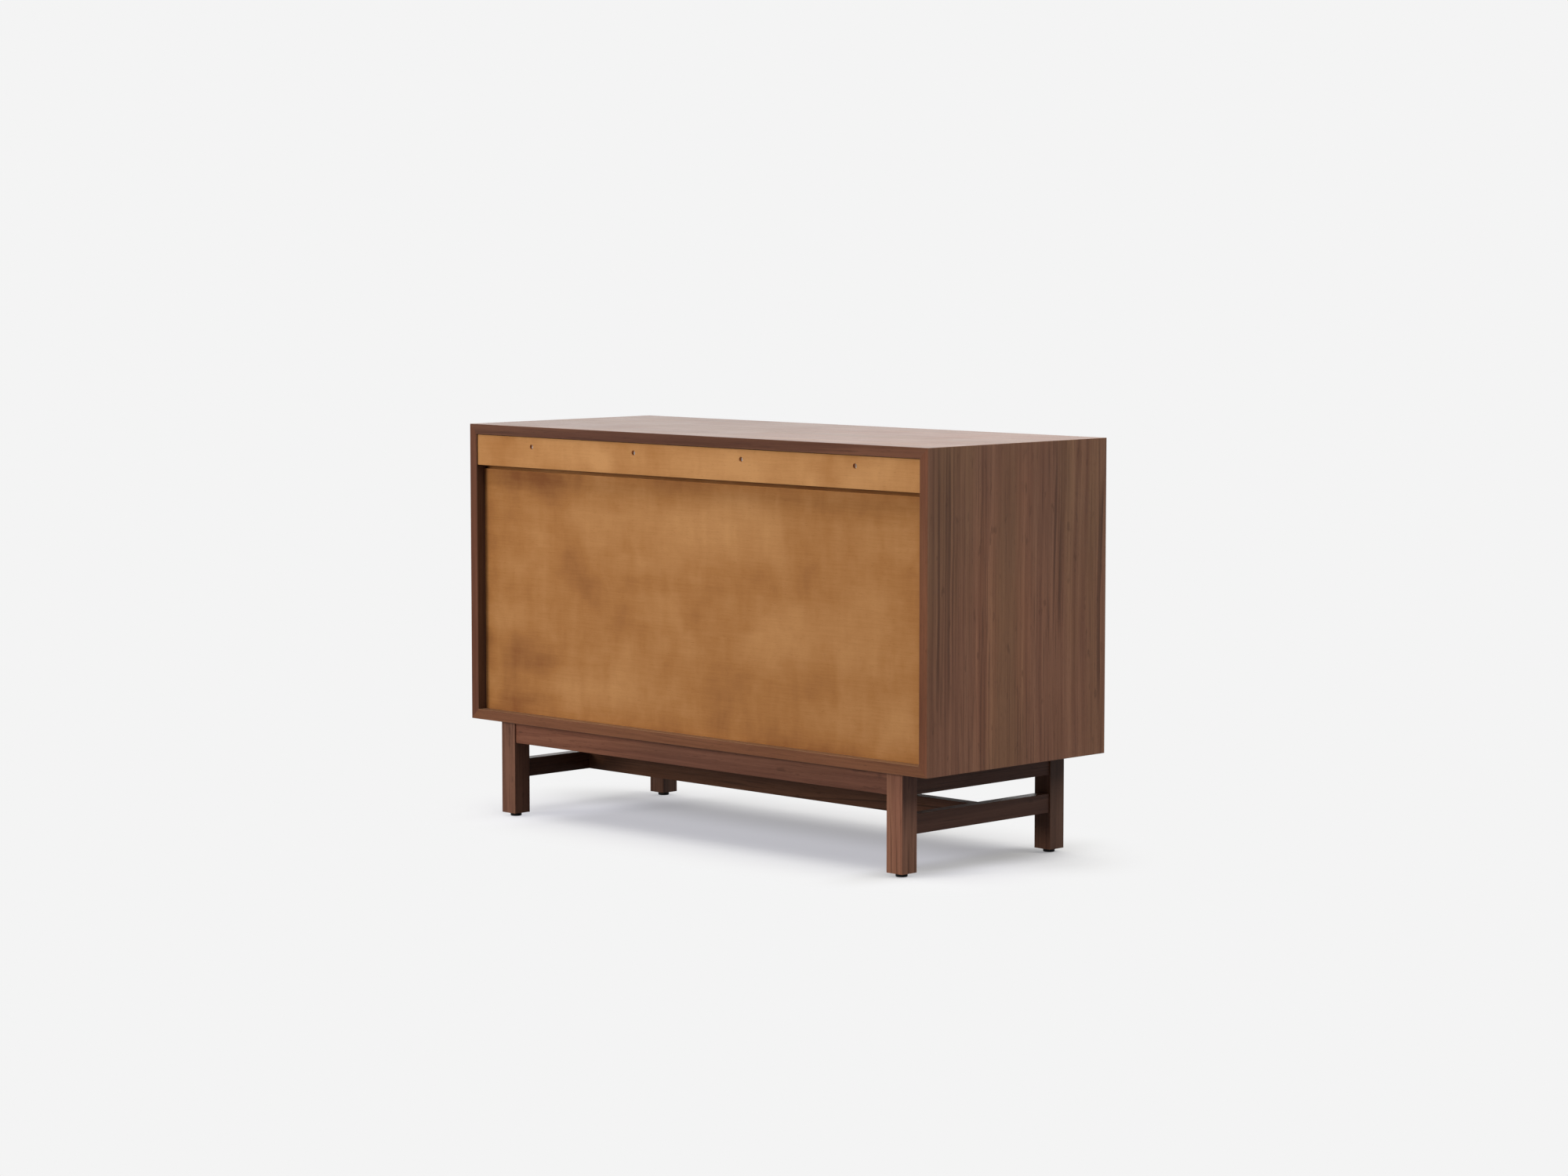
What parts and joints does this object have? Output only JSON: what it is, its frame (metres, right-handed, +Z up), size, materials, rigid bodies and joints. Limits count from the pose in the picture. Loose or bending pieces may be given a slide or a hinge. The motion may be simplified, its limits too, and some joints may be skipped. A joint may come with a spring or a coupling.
{
  "type": "media cabinet",
  "caption": "Low walnut media cabinet with a mitred case, recessed back panel, hinged front doors and shelves, on a leg frame with low stretchers and levelling feet.",
  "frame": {"origin": "on the floor, below the centre of the case", "axes": "+X across the cabinet to the right as seen from its front, +Y towards its back, +Z up"},
  "size_m": [1.2, 0.473, 0.7555],
  "materials": {
    "walnut": "satin oiled walnut, straight grain",
    "walnut_door": "satin oiled walnut, grain across the doors",
    "walnut_base": "satin oiled solid walnut",
    "birch": "stained birch plywood, satin lacquer",
    "beech": "plain beech, unfinished",
    "brass": "satin brass",
    "zinc_steel": "zinc-plated steel",
    "magnet": "dull ferrite grey",
    "nylon": "matte off-white nylon",
    "black_plastic": "matte black nylon"
  },
  "bodies": {
    "case": {"top_panel": "walnut", "bottom_panel": "walnut", "side_panel_left": "walnut", "side_panel_right": "walnut", "mitre_splines": "beech", "center_divider": "walnut", "divider_dowels": "beech", "back_panel": "birch", "back_rail": "birch", "back_rail_cleat": "birch", "back_rail_screws": "zinc_steel", "cleat_dowels": "beech", "shelf_left": "walnut", "shelf_right": "walnut", "shelf_pins": "brass", "pivot_sockets": "brass", "pivot_socket_screws": "brass", "pivot_washers": "nylon", "catch_housings": "black_plastic", "catch_magnets": "magnet", "catch_screws": "zinc_steel", "door_bumpers": "nylon", "leg_front_left": "walnut_base", "leg_front_right": "walnut_base", "leg_rear_left": "walnut_base", "leg_rear_right": "walnut_base", "apron_front": "walnut_base", "apron_rear": "walnut_base", "apron_left": "walnut_base", "apron_right": "walnut_base", "stretcher_left": "walnut_base", "stretcher_right": "walnut_base", "stretcher_center": "walnut_base", "base_tenons": "beech", "base_cleats": "beech", "base_screws": "zinc_steel", "leveller_inserts": "brass"},
    "door_left": {"door_left": "walnut_door", "knob_left": "brass", "knob_screw_left": "zinc_steel", "pivot_plates_left": "brass", "pivot_screws_left": "brass", "catch_strike_left": "zinc_steel"},
    "door_right": {"door_right": "walnut_door", "knob_right": "brass", "knob_screw_right": "zinc_steel", "pivot_plates_right": "brass", "pivot_screws_right": "brass", "catch_strike_right": "zinc_steel"},
    "leveller_front_left": {"leveller_pad_front_left": "black_plastic", "leveller_stem_front_left": "zinc_steel"},
    "leveller_front_right": {"leveller_pad_front_right": "black_plastic", "leveller_stem_front_right": "zinc_steel"},
    "leveller_rear_left": {"leveller_pad_rear_left": "black_plastic", "leveller_stem_rear_left": "zinc_steel"},
    "leveller_rear_right": {"leveller_pad_rear_right": "black_plastic", "leveller_stem_rear_right": "zinc_steel"}
  },
  "joints": [
    {"name": "door_left_hinge", "type": "hinge", "parent": "case", "child": "door_left", "pos_m": [-0.566, -0.2095, 0.47], "axis": [0, 0, -1], "range_deg": [0, 95]},
    {"name": "door_right_hinge", "type": "hinge", "parent": "case", "child": "door_right", "pos_m": [0.566, -0.2095, 0.47], "axis": [0, 0, 1], "range_deg": [0, 95]},
    {"name": "leveller_front_left_height", "type": "slide", "parent": "case", "child": "leveller_front_left", "axis": [0, 0, -1], "range_m": [0, 0.012]},
    {"name": "leveller_front_right_height", "type": "slide", "parent": "case", "child": "leveller_front_right", "axis": [0, 0, -1], "range_m": [0, 0.012]},
    {"name": "leveller_rear_left_height", "type": "slide", "parent": "case", "child": "leveller_rear_left", "axis": [0, 0, -1], "range_m": [0, 0.012]},
    {"name": "leveller_rear_right_height", "type": "slide", "parent": "case", "child": "leveller_rear_right", "axis": [0, 0, -1], "range_m": [0, 0.012]}
  ]
}
